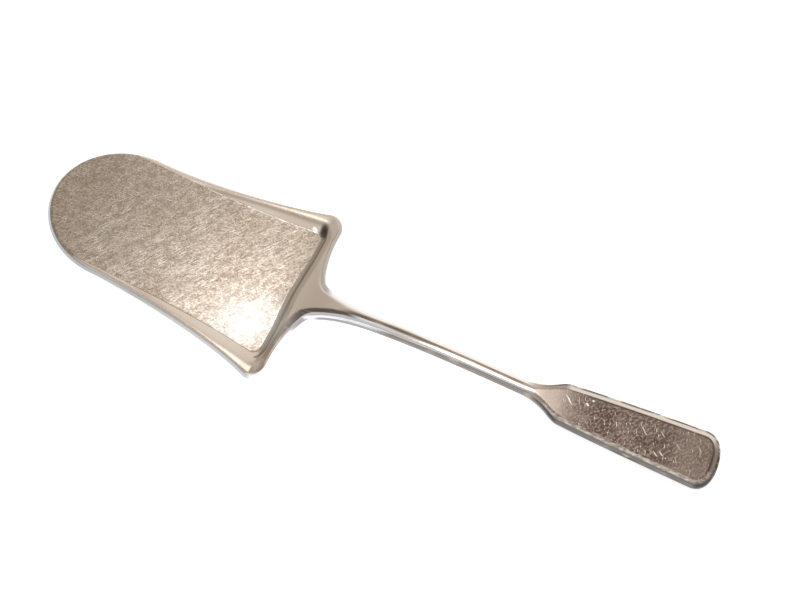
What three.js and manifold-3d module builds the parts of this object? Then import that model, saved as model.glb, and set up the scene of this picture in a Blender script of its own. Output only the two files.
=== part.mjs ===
// Serving spatula: a pressed blade brazed to a forged handle with a flat spade end.
// Millimetres, +Z up. The spatula lies as it rests on a table: on the heel of its pan and on its spade.
// +X runs from the blade's tip to the spade's end, and the origin is on the table under the middle.
import * as THREE from 'three';
import { mergeVertices } from 'three/addons/utils/BufferGeometryUtils.js';
import Module from 'manifold-3d';

const wasm = await Module();
wasm.setup();

// Driving dimensions: lengths along the spatula's spine, from the tip back
const TIP_LENGTH = 28.1; // the elliptical tip
const PAN_LENGTH = 95.2; // tip to the foot of the pan's back wall, which is the heel
const SHOULDER_DEPTH = 7.2; // heel to the blade's rear edge
const NECK_TURN_DEPTH = 3.7; // rear edge to where the outline has turned into the neck
const NECK_LENGTH = 26.2; // rear edge to where the shaft is at its full slimness
const SHAFT_LENGTH = 58; // the slim bar
const FLARE_LENGTH = 16; // the bar widening into the spade
const SPADE_LENGTH = 55.1; // the flat end, to its blunt tip

// Driving dimensions: widths, measured from the centre line
const TIP_HALF_WIDTH = 25.8;
const REAR_HALF_WIDTH = 36; // across the rear corners
const REAR_CORNER = 6.8; // how far each rear corner's rounding reaches inwards
const NECK_HALF_WIDTH = 9.4; // where the rear edge has turned into the neck
const NECK_END_SWELL = 0.35; // the neck's end is this much wider than the shaft, each side
const SHAFT_HALF_WIDTH = 2.65;
const SPADE_FRONT_HALF_WIDTH = 7.9;
const SPADE_END_HALF_WIDTH = 10.7;
const SPADE_END_CORNER = 7; // length of the rounding at the blunt end

// Directions of the outline where its curves meet, in degrees from the spine
const SIDE_FLARE = 20; // the sides swing out into the rear corners
const REAR_EDGE_TURN = -93; // the rear edge starts straight across the blade
const NECK_TURN = -60;
const NECK_TAPER = -3.3;
const SHAFT_FLARE = 0.35;
const SPADE_FLARE = 5;
const SPADE_END_FLARE = 2.6;
const STRAIGHT_IN = -90;

// How far each curve of the outline follows its two end directions, as shares of its chord
const BOWS = {
  side: [0.26, 0.25],
  rearCorner: [0.3, 0.51],
  rearEdge: [0.42, 0.2],
  neck: [0.17, 0.59],
  shaft: [0.12, 0.24],
  flare: [0.56, 0.22],
  spadeSide: [0.33, 0.29],
  spadeEnd: [0.31, 0.59],
};

// Driving dimensions: the pan pressed into the blade
const PANEL_INSET = 2.5; // panel to edge, at the tip
const PANEL_REAR_HALF_WIDTH = 26.9;
const PANEL_LATE_WIDENING = 0.86; // share of the panel's widening that comes near its back
const PANEL_CORNER_RADIUS = 3.2;
const BACK_BOW = 0.9; // the panel's back edge lies this much further back at its sides
const BACK_BOW_HALF_WIDTH = 18; // where the bow ends
const RIM_RISE = 1.6; // rim above the panel, at the rear
const RIM_START = 37.1; // where the rim begins to rise
const RIM_FULL_LEAD = 4; // it has its full height this far before the heel
const BACK_WALL_RUN = 5;
const SIDE_WALL_SHARE = 0.62; // of the border's width
const UNDERSIDE_FOOT_SHARE = 0.35; // of the sheet: the wall's foot lies further out underneath
const WALL_FOOT = 0.08; // share of the wall's run in which it curves up from the panel
const WALL_TOP = 0.78; // share in which it levels off into the rim

// Driving dimensions: thickness, edges and stance
const SHEET = 2;
const BAR_THICKNESS = 3.8;
const BLADE_EDGE = 2.2; // width of the blade's edge: the rim's outer part, then the flank
const FLANK_SHARE = 0.5; // of the edge: the flank, which slopes outwards down to the outline
const FLANK_FOOT = 0.18; // share of the sheet from its underside up to the outline
const FLANK_SHARPNESS = 10; // how tightly the rim turns over into the flank
const RIM_CROWN = 0.2; // share of the sheet by which the rim falls towards the flank
const UNDERSIDE_POWER = 8; // how squarely the underside meets the flank
const NECK_CROWN = 4.5; // how far in the neck's edges are rounded, until its two sides meet
const NECK_CROWN_RUN = 8; // rear edge to where the neck has its crown
const SPADE_BEVEL = 2.8;
const SPADE_BEVEL_SLOPE = 0.3;
const SPADE_POWER = 2.5; // above 2 gives a squarer edge than a half round
const BAR_POWER = 3.2; // the neck and bar have flat faces and well rounded corners
const HEEL_WEAR = 0.15; // the heel is worn flat by this much where it rests on the table
const PAN_TILT = THREE.MathUtils.degToRad(9.43);
const ARCH_HEIGHT = 3.4; // bar's underside above the table, at its highest
const ARCH_SHARE = 0.42; // how far along the neck and bar the arch is highest
const ARCH_CLIMB = [0.11, 0.3]; // how far its front follows the slope, and then the level
const ARCH_FALL = [0.4, 0.26]; // how far its rear follows the level, at each end
const THICKENING_LEAD = 6; // the sheet begins to thicken this far before the heel
const THICKENING_LAG = 4; // and has the bar's thickness this far before the neck's end

// Driving dimensions: the brazed scarf joint in the neck
const JOINT_SETBACK = 13.9; // rear edge to the joint's middle
const SCARF_ANGLE = THREE.MathUtils.degToRad(24); // joint faces to the neck's length
const SOLDER_THICKNESS = 0.3;

// Mesh fineness
const EDGE_ROWS = 6;
const EDGE_ROWS_REACH = 0.8; // the edge's rows reach at most this share of the way in
const BORDER_ROWS = 7;
const BORDER_CROWDING = 1.4; // above 1 packs the border's rows towards the panel
const NECK_CROWDING = 1.6; // above 1 packs the neck's stations towards the back wall
const SPADE_FAN_SHARE = 0.8; // of the spade's half width: from its end to the middle of the fan
const SPINE_SAMPLES = 400;
const PANEL_STRETCHES = 4; // the outline's first stretches, which face the panel

// Stations along the spine
const HEEL = PAN_LENGTH;
const REAR = HEEL + SHOULDER_DEPTH;
const NECK_END = REAR + NECK_LENGTH;
const SHAFT_END = NECK_END + SHAFT_LENGTH;
const SPADE_START = SHAFT_END + FLARE_LENGTH;
const SPADE_CORNER = SPADE_START + SPADE_LENGTH - SPADE_END_CORNER;
const END = SPADE_START + SPADE_LENGTH;
const PANEL_FRONT_HALF_WIDTH = TIP_HALF_WIDTH - PANEL_INSET;
const UNDERSIDE_FOOT = SHEET * UNDERSIDE_FOOT_SHARE;

// The pan's underside is lowest at the foot of its back wall, beside the bow, and worn flat there
const HEEL_DROP = (BACK_BOW + UNDERSIDE_FOOT) * Math.sin(PAN_TILT) - HEEL_WEAR;

const { lerp, smoothstep, clamp } = THREE.MathUtils;
const plan = (along, across) => new THREE.Vector2(along, across);
const bezier = (a, b, c, d) => new THREE.CubicBezierCurve(a, b, c, d);
const heading = (degrees) => plan(1, 0).rotateAround(plan(0, 0), THREE.MathUtils.degToRad(degrees));

// The spine: the plane of the pan's underside, carried on under the neck, bar and spade.
// It is straight as far as the pan's lowest line, arches over the table behind it and ends level
// under the spade.
// The spade's underside lies RIM_RISE above it, level with the worn land of the heel.
function makeSpine() {
  const bend = HEEL + BACK_BOW + UNDERSIDE_FOOT;
  const slope = heading(-THREE.MathUtils.radToDeg(PAN_TILT));
  const start = slope.clone().multiplyScalar(bend - HEEL);
  const level = -RIM_RISE - HEEL_DROP;
  const span = SPADE_START - bend;
  const crest = plan(start.x + span * ARCH_SHARE, level + ARCH_HEIGHT);
  const landing = plan(start.x + span, level);
  const climb = crest.x - start.x;
  const fall = landing.x - crest.x;
  const path = new THREE.CurvePath();
  path.add(bezier(start, start.clone().addScaledVector(slope, climb * ARCH_CLIMB[0]),
    plan(crest.x - climb * ARCH_CLIMB[1], crest.y), crest));
  path.add(bezier(crest, plan(crest.x + fall * ARCH_FALL[0], crest.y),
    plan(landing.x - fall * ARCH_FALL[1], landing.y), landing));
  const points = path.getSpacedPoints(SPINE_SAMPLES);
  const length = path.getLength();
  return { bend, points, length };
}

const SPINE = makeSpine();

// Point and direction of the spine at a distance from the tip; the heel is at x = 0, z = 0.
function spineAt(along) {
  if (along <= SPINE.bend) {
    const back = along - HEEL;
    const direction = plan(Math.cos(PAN_TILT), -Math.sin(PAN_TILT));
    return { point: direction.clone().multiplyScalar(back), direction };
  }
  const run = (along - SPINE.bend) / SPINE.length * SPINE_SAMPLES;
  if (run >= SPINE_SAMPLES) {
    const last = SPINE.points[SPINE_SAMPLES];
    const past = along - SPINE.bend - SPINE.length;
    return { point: plan(last.x + past, last.y), direction: plan(1, 0) };
  }
  const index = Math.floor(run);
  const before = SPINE.points[Math.max(index - 1, 0)];
  const here = SPINE.points[index];
  const next = SPINE.points[index + 1];
  const after = SPINE.points[Math.min(index + 2, SPINE_SAMPLES)];
  const share = run - index;
  const point = here.clone().lerp(next, share);
  const direction = next.clone().sub(before).normalize()
    .lerp(after.clone().sub(here).normalize(), share).normalize();
  return { point, direction };
}

// A place given along the spine, across it and above it, as a point in space
const CENTRE_X = (spineAt(END).point.x + spineAt(0).point.x) / 2;
function place(along, across, above) {
  const { point, direction } = spineAt(along);
  return new THREE.Vector3(
    point.x - direction.y * above - CENTRE_X, across, point.y + direction.x * above + HEEL_DROP);
}

// A point of the outline and the direction in which the outline passes it
const knot = (along, across, degrees) => ({ at: plan(along, across), forward: heading(degrees) });

// The curve from one knot to the next, as a function of its share
function bow(from, to, [leave, arrive]) {
  const chord = from.at.distanceTo(to.at);
  const stretch = bezier(
    from.at,
    from.at.clone().addScaledVector(from.forward, chord * leave),
    to.at.clone().addScaledVector(to.forward, -chord * arrive),
    to.at);
  return (share) => stretch.getPoint(share);
}

// Half the outline seen from above, tip to end, each stretch with the inner line that it faces
function outlineStretches() {
  const quarter = Math.PI / 2;
  const tip = (length, halfWidth) => (share) => plan(
    TIP_LENGTH - length * Math.cos(share * quarter), halfWidth * Math.sin(share * quarter));
  const axis = (from, to, crowding = 1) => (share) => plan(lerp(from, to, share ** crowding), 0);
  const cornerStart = HEEL + BACK_BOW - PANEL_CORNER_RADIUS;
  const cornerHalfWidth = PANEL_REAR_HALF_WIDTH - PANEL_CORNER_RADIUS;
  const sideStart = knot(TIP_LENGTH, TIP_HALF_WIDTH, 0);
  const sideEnd = knot(HEEL, REAR_HALF_WIDTH, SIDE_FLARE);
  const rearStart = knot(REAR, REAR_HALF_WIDTH - REAR_CORNER, REAR_EDGE_TURN);
  const neckTurn = knot(REAR + NECK_TURN_DEPTH, NECK_HALF_WIDTH, NECK_TURN);
  const neckEnd = knot(NECK_END, SHAFT_HALF_WIDTH + NECK_END_SWELL, NECK_TAPER);
  const shaftEnd = knot(SHAFT_END, SHAFT_HALF_WIDTH, SHAFT_FLARE);
  const spadeFront = knot(SPADE_START, SPADE_FRONT_HALF_WIDTH, SPADE_FLARE);
  const spadeCorner = knot(SPADE_CORNER, SPADE_END_HALF_WIDTH, SPADE_END_FLARE);
  const end = knot(END, 0, STRAIGHT_IN);
  const fan = END - SPADE_END_HALF_WIDTH * SPADE_FAN_SHARE;
  return [
    {
      steps: 16,
      outer: tip(TIP_LENGTH, TIP_HALF_WIDTH),
      inner: tip(TIP_LENGTH - PANEL_INSET, PANEL_FRONT_HALF_WIDTH),
    },
    {
      steps: 12,
      outer: bow(sideStart, sideEnd, BOWS.side),
      inner: (share) => {
        const along = lerp(TIP_LENGTH, cornerStart, share);
        return plan(along, panelHalfWidth(along));
      },
    },
    {
      steps: 8,
      outer: bow(sideEnd, rearStart, BOWS.rearCorner),
      inner: (share) => {
        const along = cornerStart + PANEL_CORNER_RADIUS * Math.sin(share * quarter);
        const roundedOff = PANEL_CORNER_RADIUS * (1 - Math.cos(share * quarter));
        return plan(along, panelHalfWidth(along) - roundedOff);
      },
    },
    {
      steps: 9,
      outer: bow(rearStart, neckTurn, BOWS.rearEdge),
      inner: (share) => {
        const across = lerp(cornerHalfWidth, 0, share);
        return plan(panelBack(across), across);
      },
    },
    { steps: 12, outer: bow(neckTurn, neckEnd, BOWS.neck), inner: axis(HEEL, NECK_END, NECK_CROWDING) },
    { steps: 10, outer: bow(neckEnd, shaftEnd, BOWS.shaft), inner: axis(NECK_END, SHAFT_END) },
    { steps: 12, outer: bow(shaftEnd, spadeFront, BOWS.flare), inner: axis(SHAFT_END, SPADE_START) },
    { steps: 8, outer: bow(spadeFront, spadeCorner, BOWS.spadeSide), inner: axis(SPADE_START, fan) },
    { steps: 12, outer: bow(spadeCorner, end, BOWS.spadeEnd), inner: axis(fan, fan) },
  ];
}

// Half width of the flat panel behind the tip
function panelHalfWidth(along) {
  const share = clamp((along - TIP_LENGTH) / (HEEL - TIP_LENGTH), 0, 1);
  const widening = lerp(share, share ** 3, PANEL_LATE_WIDENING);
  return lerp(PANEL_FRONT_HALF_WIDTH, PANEL_REAR_HALF_WIDTH, widening);
}

// The panel's back edge, which bows forward in the middle
function panelBack(across) {
  return HEEL + BACK_BOW * smoothstep(Math.abs(across), 0, BACK_BOW_HALF_WIDTH);
}

// The pan's wall as a share of its height: it curves up, runs straight and levels off
function wallHeight(share) {
  const straight = 1 - WALL_FOOT - WALL_TOP;
  const whole = WALL_FOOT / 2 + straight + WALL_TOP / 2;
  const curving = Math.min(share, WALL_FOOT);
  const climbing = clamp(share - WALL_FOOT, 0, straight);
  const left = Math.min(1 - share, WALL_TOP);
  return (curving ** 2 / (2 * WALL_FOOT) + climbing + (WALL_TOP - left ** 2 / WALL_TOP) / 2) / whole;
}

// Height of the pressed border above the panel: nothing at the tip, RIM_RISE round the rear
function rise(point, sideRun, shift) {
  const fade = smoothstep(point.x, RIM_START, HEEL - RIM_FULL_LEAD);
  const behind = point.x - (panelBack(point.y) - PANEL_CORNER_RADIUS);
  const beside = Math.abs(point.y) - (panelHalfWidth(point.x) - PANEL_CORNER_RADIUS);
  let distance = Math.max(behind, beside) - PANEL_CORNER_RADIUS;
  let turn = behind > beside ? 0 : 1;
  if (behind > 0 && beside > 0) {
    distance = Math.hypot(behind, beside) - PANEL_CORNER_RADIUS;
    turn = (beside / Math.hypot(behind, beside)) ** 2;
  }
  const share = clamp((distance - shift) / lerp(BACK_WALL_RUN, sideRun, turn), 0, 1);
  return RIM_RISE * fade * wallHeight(share);
}

// How full the section is above and below the outline's level, from 0 at the outline to 1 inside
// the edge. The neck, bar and spade are rounded. The blade has a rim that turns over into a flank.
function fullness(share, { power, bevelSlope, roundness }) {
  const outwards = 1 - clamp(share, 0, 1);
  const round = (1 - outwards ** power) ** (1 / power) * (1 - bevelSlope * outwards);
  const rim = 1 - RIM_CROWN * outwards ** 2;
  const flank = (1 - outwards) / FLANK_SHARE;
  const meeting = (rim ** FLANK_SHARPNESS + flank ** FLANK_SHARPNESS) ** (1 / FLANK_SHARPNESS);
  const square = (1 - outwards ** UNDERSIDE_POWER) ** (1 / UNDERSIDE_POWER);
  return {
    above: lerp(rim * flank / meeting, round, roundness),
    below: lerp(square, round, roundness),
  };
}

// Thickness and edge along the spine: sheet, then neck and bar, then spade
function section(along) {
  const toNeck = smoothstep(along, REAR, REAR + NECK_CROWN_RUN);
  const toBar = smoothstep(along, HEEL - THICKENING_LEAD, NECK_END - THICKENING_LAG);
  const toSpade = smoothstep(along, SHAFT_END, SPADE_START);
  return {
    thickness: lerp(SHEET, BAR_THICKNESS, toBar),
    edge: lerp(lerp(BLADE_EDGE, NECK_CROWN, toNeck), SPADE_BEVEL, toSpade),
    power: lerp(BAR_POWER, SPADE_POWER, toSpade),
    bevelSlope: SPADE_BEVEL_SLOPE * toSpade,
    roundness: toNeck,
  };
}

// One station of the outline: the points in from its edge, top and bottom
function makeRib(outer, inner) {
  const reach = outer.distanceTo(inner);
  const profile = section(outer.x);
  const rounded = Math.min(profile.edge / reach, 1);
  const edgeShare = Math.min(rounded, EDGE_ROWS_REACH);
  const shares = [];
  for (let row = 0; row <= EDGE_ROWS; row += 1) {
    shares.push(edgeShare * (1 - Math.cos(row / EDGE_ROWS * Math.PI / 2)));
  }
  for (let row = 1; row <= BORDER_ROWS; row += 1) {
    shares.push(lerp(edgeShare, 1, 1 - (1 - row / BORDER_ROWS) ** BORDER_CROWDING));
  }
  const sideRun = SIDE_WALL_SHARE * reach;
  return shares.map((share) => {
    const at = outer.clone().lerp(inner, share);
    const bottom = rise(at, sideRun, UNDERSIDE_FOOT);
    const top = rise(at, sideRun, 0) + section(at.x).thickness;
    const level = lerp(bottom, top, lerp(FLANK_FOOT, 0.5, profile.roundness));
    const { above, below } = fullness(share / rounded, profile);
    return {
      top: place(at.x, at.y, lerp(level, top, above)),
      bottom: place(at.x, at.y, lerp(level, bottom, below)),
    };
  });
}

// The whole spatula as one closed surface, before it is cut into its pieces
function makeBody() {
  const ribs = [];
  const panelRim = [];
  outlineStretches().forEach(({ steps, outer, inner }, stretch) => {
    for (let step = ribs.length ? 1 : 0; step <= steps; step += 1) {
      const facing = inner(step / steps);
      const rib = makeRib(outer(step / steps), facing);
      ribs.push(rib);
      if (stretch < PANEL_STRETCHES) panelRim.push({ at: facing, ...rib.at(-1) });
    }
  });
  const positions = [];
  const add = (a, b, c) => [a, b, c].forEach((point) => positions.push(point.x, point.y, point.z));
  const mirrored = (point) => new THREE.Vector3(point.x, -point.y, point.z);
  const addBothSides = (a, b, c) => {
    add(a, b, c);
    add(mirrored(a), mirrored(c), mirrored(b));
  };
  for (let rib = 0; rib + 1 < ribs.length; rib += 1) {
    for (let row = 0; row + 1 < ribs[rib].length; row += 1) {
      const [here, next] = [ribs[rib], ribs[rib + 1]];
      addBothSides(here[row].top, here[row + 1].top, next[row + 1].top);
      addBothSides(here[row].top, next[row + 1].top, next[row].top);
      addBothSides(here[row].bottom, next[row + 1].bottom, here[row + 1].bottom);
      addBothSides(here[row].bottom, next[row].bottom, next[row + 1].bottom);
    }
  }
  const otherHalf = panelRim.slice(1, -1).reverse().map(({ at, top, bottom }) => ({
    at: plan(at.x, -at.y), top: mirrored(top), bottom: mirrored(bottom),
  }));
  const rim = panelRim.concat(otherHalf);
  THREE.ShapeUtils.triangulateShape(rim.map(({ at }) => at), []).forEach((corners) => {
    const left = THREE.ShapeUtils.area(corners.map((corner) => rim[corner].at)) > 0;
    const [a, b, c] = (left ? corners : [...corners].reverse()).map((corner) => rim[corner]);
    add(a.top, b.top, c.top);
    add(a.bottom, c.bottom, b.bottom);
  });
  const geometry = new THREE.BufferGeometry();
  geometry.setAttribute('position', new THREE.Float32BufferAttribute(positions, 3));
  return geometry;
}

// A closed geometry as a solid that can be cut
function toSolid(source) {
  const bare = source.clone();
  bare.deleteAttribute('normal');
  bare.deleteAttribute('uv');
  const welded = mergeVertices(bare, 1e-4);
  const corners = welded.index.array;
  const kept = [];
  for (let start = 0; start < corners.length; start += 3) {
    const [a, b, c] = [corners[start], corners[start + 1], corners[start + 2]];
    if (a !== b && b !== c && c !== a) kept.push(a, b, c);
  }
  return new wasm.Manifold(new wasm.Mesh({
    numProp: 3,
    vertProperties: new Float32Array(welded.attributes.position.array),
    triVerts: new Uint32Array(kept),
  }));
}

function toGeometry(solid) {
  const { vertProperties, triVerts } = solid.getMesh();
  const geometry = new THREE.BufferGeometry();
  geometry.setAttribute('position', new THREE.BufferAttribute(vertProperties, 3));
  geometry.setIndex(new THREE.BufferAttribute(triVerts, 1));
  geometry.computeVertexNormals();
  return geometry;
}

// A block with one face on the scarf plane, reaching from it towards the tip (-1) or the spade (+1).
// The plane is moved along its own normal by the offset.
function scarfBlock(side, offset) {
  const size = (END + REAR_HALF_WIDTH) * 2;
  const middle = REAR + JOINT_SETBACK;
  const { direction } = spineAt(middle);
  const pitch = Math.atan2(direction.y, direction.x);
  const block = new THREE.BoxGeometry(size, size, size);
  block.translate(side * size / 2 + offset, 0, 0);
  block.rotateY(-(pitch + Math.PI / 2 - SCARF_ANGLE));
  const centre = place(middle, 0, RIM_RISE + section(middle).thickness / 2);
  block.translate(centre.x, centre.y, centre.z);
  return toSolid(block);
}

// What the table has worn off the heel: all of it that would reach below the table
function heelWear() {
  const size = REAR_HALF_WIDTH * 2;
  const block = new THREE.BoxGeometry(size, size, size);
  block.translate(place(HEEL, 0, 0).x, 0, -size / 2);
  return toSolid(block);
}

const metal = (color, roughness) => new THREE.MeshStandardMaterial({ color, roughness, metalness: 1 });

function addPiece(name, solid, material) {
  const piece = new THREE.Mesh(toGeometry(solid), material);
  piece.name = name;
  spatula.add(piece);
}

const spatula = new THREE.Group();
const body = toSolid(makeBody()).subtract(heelWear());
const half = SOLDER_THICKNESS / 2;

// The pressed blade with its pan, shoulder and short tang
addPiece('blade', body.intersect(scarfBlock(-1, -half)), metal(0xb9a893, 0.32));

// The layer of silver solder between the two scarf faces
addPiece('neck_solder',
  body.intersect(scarfBlock(-1, half)).intersect(scarfBlock(1, -half)), metal(0xc8bda6, 0.3));

// The forged handle: bar and spade end
addPiece('handle', body.intersect(scarfBlock(1, half)), metal(0x9c8674, 0.3));

export default spatula;
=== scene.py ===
"""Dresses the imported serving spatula: a pressed blade brazed to a forged handle.

Lengths are millimetres and angles are degrees until a mesh is made, which is in metres. The spatula
lies as it rests on a table, with the blade's tip at -X and the spade's end at +X.
"""

import logging
import math
from collections.abc import Callable
from dataclasses import dataclass, field
from enum import Enum
from functools import partial

import bmesh
import bpy
import numpy as np
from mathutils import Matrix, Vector


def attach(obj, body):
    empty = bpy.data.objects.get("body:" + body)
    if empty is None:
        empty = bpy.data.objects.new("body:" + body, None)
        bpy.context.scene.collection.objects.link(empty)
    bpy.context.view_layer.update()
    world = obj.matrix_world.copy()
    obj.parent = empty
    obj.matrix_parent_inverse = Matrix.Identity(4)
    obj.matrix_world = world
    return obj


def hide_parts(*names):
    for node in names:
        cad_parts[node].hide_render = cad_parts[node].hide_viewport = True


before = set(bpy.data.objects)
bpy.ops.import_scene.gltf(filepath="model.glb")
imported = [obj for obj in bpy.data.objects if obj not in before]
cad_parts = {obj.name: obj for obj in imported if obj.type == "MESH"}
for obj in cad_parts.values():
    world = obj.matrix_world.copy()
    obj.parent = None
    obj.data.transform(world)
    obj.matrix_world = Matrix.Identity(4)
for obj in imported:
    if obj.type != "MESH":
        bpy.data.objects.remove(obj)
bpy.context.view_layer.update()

Array = np.ndarray
Pair = tuple[float, float]
Triple = tuple[float, float, float]
Cuts = tuple[tuple[Vector, Vector], ...]
Socket = bpy.types.NodeSocket
Tree = bpy.types.NodeTree

LOG = logging.getLogger("spatula")
MM = 0.001
QUARTER_TURN = math.pi / 2
TINY = 1e-9
# Distances in metres: points closer than the first are one, edges shorter than the second go,
# and a point within the third of a cutting plane lies on it
MERGE, COLLAPSE, ON_PLANE = 3e-7, 1e-8, 1e-9
# Third coordinate of the plan attribute, which tells the two sides of the metal apart
TOP, OUTLINE, BELOW = 0.0, 0.5, 1.0


def smoothstep(value: Array, start: float, stop: float) -> Array:
    """Eases from 0 at start to 1 at stop, level at both ends.

    Args:
        value: The values to ease.
        start: Where the ease is 0.
        stop: Where it is 1.

    Returns:
        x * x * (3 - 2 * x), with x the clamped share of the way from start to stop.
    """
    share = np.clip((value - start) / (stop - start), 0, 1)
    return share * share * (3 - 2 * share)


def lerp(first: Array, second: Array, share: Array) -> Array:
    """Goes straight from first at share 0 to second at share 1."""
    return first + (second - first) * share


def bezier(points: Array, share: Array) -> Array:
    """Follows a cubic Bezier curve.

    Args:
        points: The curve's start, its two handles and its end, one a row.
        share: How far along the curve, from 0 to 1, as an array.

    Returns:
        One point a row: the four points weighted by (1-t)^3, 3t(1-t)^2, 3t^2(1-t) and t^3.
    """
    left = 1 - share
    weights = np.stack([left**3, 3 * share * left**2, 3 * share**2 * left, share**3], axis=-1)
    return weights @ points


def heading(degrees: float) -> Array:
    """Gives the unit direction at an angle from the first axis."""
    return np.array([math.cos(math.radians(degrees)), math.sin(math.radians(degrees))])


@dataclass(frozen=True)
class Knot:
    """A point of the outline, and the direction in which the outline passes it."""

    along: float
    across: float
    turn: float  # from the spine


@dataclass(frozen=True)
class Bow:
    """One curve of the outline, from one knot to the next."""

    start: Knot
    stop: Knot
    leave: float  # how far it follows the first direction, as a share of the chord
    arrive: float  # and the last one

    def __call__(self, share: Array) -> Array:
        """Follows the curve.

        Args:
            share: Shares of the way along it.

        Returns:
            One point a row.
        """
        first, last = (np.array([knot.along, knot.across]) for knot in (self.start, self.stop))
        chord = np.linalg.norm(last - first)
        handles = (
            first + heading(self.start.turn) * chord * self.leave,
            last - heading(self.stop.turn) * chord * self.arrive,
        )
        return bezier(np.stack([first, *handles, last]), share)


@dataclass(frozen=True)
class Stretch:
    """A part of half the outline, and the inner line that its ribs reach."""

    steps: int
    outer: Callable[[Array], Array]  # the outline at a share of the stretch
    inner: Callable[[Array], Array]  # where the rib from there ends
    on_panel: bool = False  # or else on the centre line


@dataclass
class Lengths:
    """The lengths along the spine, and the stations where they end, from the blade's tip."""

    tip: float = 28.1
    heel: float = 95.2
    shoulder_depth: float = 7.2
    neck_turn_depth: float = 3.7
    neck: float = 26.2
    shaft: float = 58.0
    flare: float = 16.0
    spade: float = 55.1
    spade_end_corner: float = 7.0

    def __post_init__(self) -> None:
        """Adds the lengths up to stations."""
        self.rear = self.heel + self.shoulder_depth
        self.neck_end = self.rear + self.neck
        self.shaft_end = self.neck_end + self.shaft
        self.spade_start = self.shaft_end + self.flare
        self.end = self.spade_start + self.spade
        self.spade_corner = self.end - self.spade_end_corner


@dataclass
class Stance:
    """The spine: the line that the underside follows, standing on the table.

    It is straight and tilted as far as the pan's lowest line, arches over the table behind it and
    ends level under the spade. The heel and the spade carry the spatula.
    """

    lengths: Lengths
    rim_rise: float  # how far the rim stands above the panel
    heel_reach: float  # how far behind the heel the pan's lowest line lies
    heel_wear: float = 0.15
    pan_tilt: float = 9.43
    arch_height: float = 3.4  # how far the bar's underside clears the table
    arch_share: float = 0.42  # how far along the neck and bar that is
    arch_climb: Pair = (0.11, 0.3)  # how far its front follows the slope, and then the level
    arch_fall: Pair = (0.4, 0.26)  # how far its rear follows the level, at each end
    samples: int = 2000  # of each curve of the arch

    def __post_init__(self) -> None:
        """Measures the arch, so that a station can be looked up by its distance."""
        slope = heading(-self.pan_tilt)
        self.heel_drop = self.heel_reach * math.sin(math.radians(self.pan_tilt)) - self.heel_wear
        self.bend = self.lengths.heel + self.heel_reach
        start = slope * (self.bend - self.lengths.heel)
        level = -self.rim_rise - self.heel_drop
        span = self.lengths.spade_start - self.bend
        crest = np.array([start[0] + span * self.arch_share, level + self.arch_height])
        landing = np.array([start[0] + span, level])
        climb, fall = crest[0] - start[0], landing[0] - crest[0]
        leave, reach = climb * self.arch_climb[0], [climb * self.arch_climb[1], 0]
        past, land = [fall * self.arch_fall[0], 0], [fall * self.arch_fall[1], 0]
        share = np.linspace(0, 1, self.samples)
        up = bezier(np.stack([start, start + slope * leave, crest - reach, crest]), share)
        down = bezier(np.stack([crest, crest + past, landing - land, landing]), share[1:])
        self.points = np.concatenate([up, down])
        step = np.linalg.norm(np.diff(self.points, axis=0), axis=1)
        self.stations = self.bend + np.concatenate([[0], np.cumsum(step)])
        turn = np.gradient(self.points, self.stations, axis=0)
        self.turns = turn / np.linalg.norm(turn, axis=1, keepdims=True)
        ends = self.spine(np.array([0.0, self.lengths.end]))[0]
        self.centre = ends[:, 0].mean()

    def spine(self, along: Array) -> tuple[Array, Array]:
        """Looks up the spine at distances from the tip.

        Args:
            along: The distances.

        Returns:
            The points (x, z) from the heel, and the unit directions there. Before the bend and
            after the arch the line is straight.
        """
        slope = heading(-self.pan_tilt)
        before = (along < self.bend)[..., None]
        past = np.maximum(along - self.stations[-1], 0)
        point, turn = (
            np.stack([np.interp(along, self.stations, line[:, i]) for i in (0, 1)], -1)
            for line in (self.points, self.turns))
        point[..., 0] += past
        point = np.where(before, (along - self.lengths.heel)[..., None] * slope, point)
        return point, np.where(before, slope, turn)

    def place(self, along: Array, across: Array, above: Array) -> Array:
        """Turns places on the spatula into points in space.

        Args:
            along: Distance from the tip along the spine.
            across: Distance from the centre line.
            above: Height above the spine, square to it.

        Returns:
            Points in the part's frame. None lies below the table, which has worn the heel flat.
        """
        point, turn = self.spine(along)
        x = point[..., 0] - turn[..., 1] * above - self.centre
        z = point[..., 1] + turn[..., 0] * above + self.heel_drop
        return np.stack([x, np.broadcast_to(across, x.shape), np.maximum(z, 0)], axis=-1)


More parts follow.
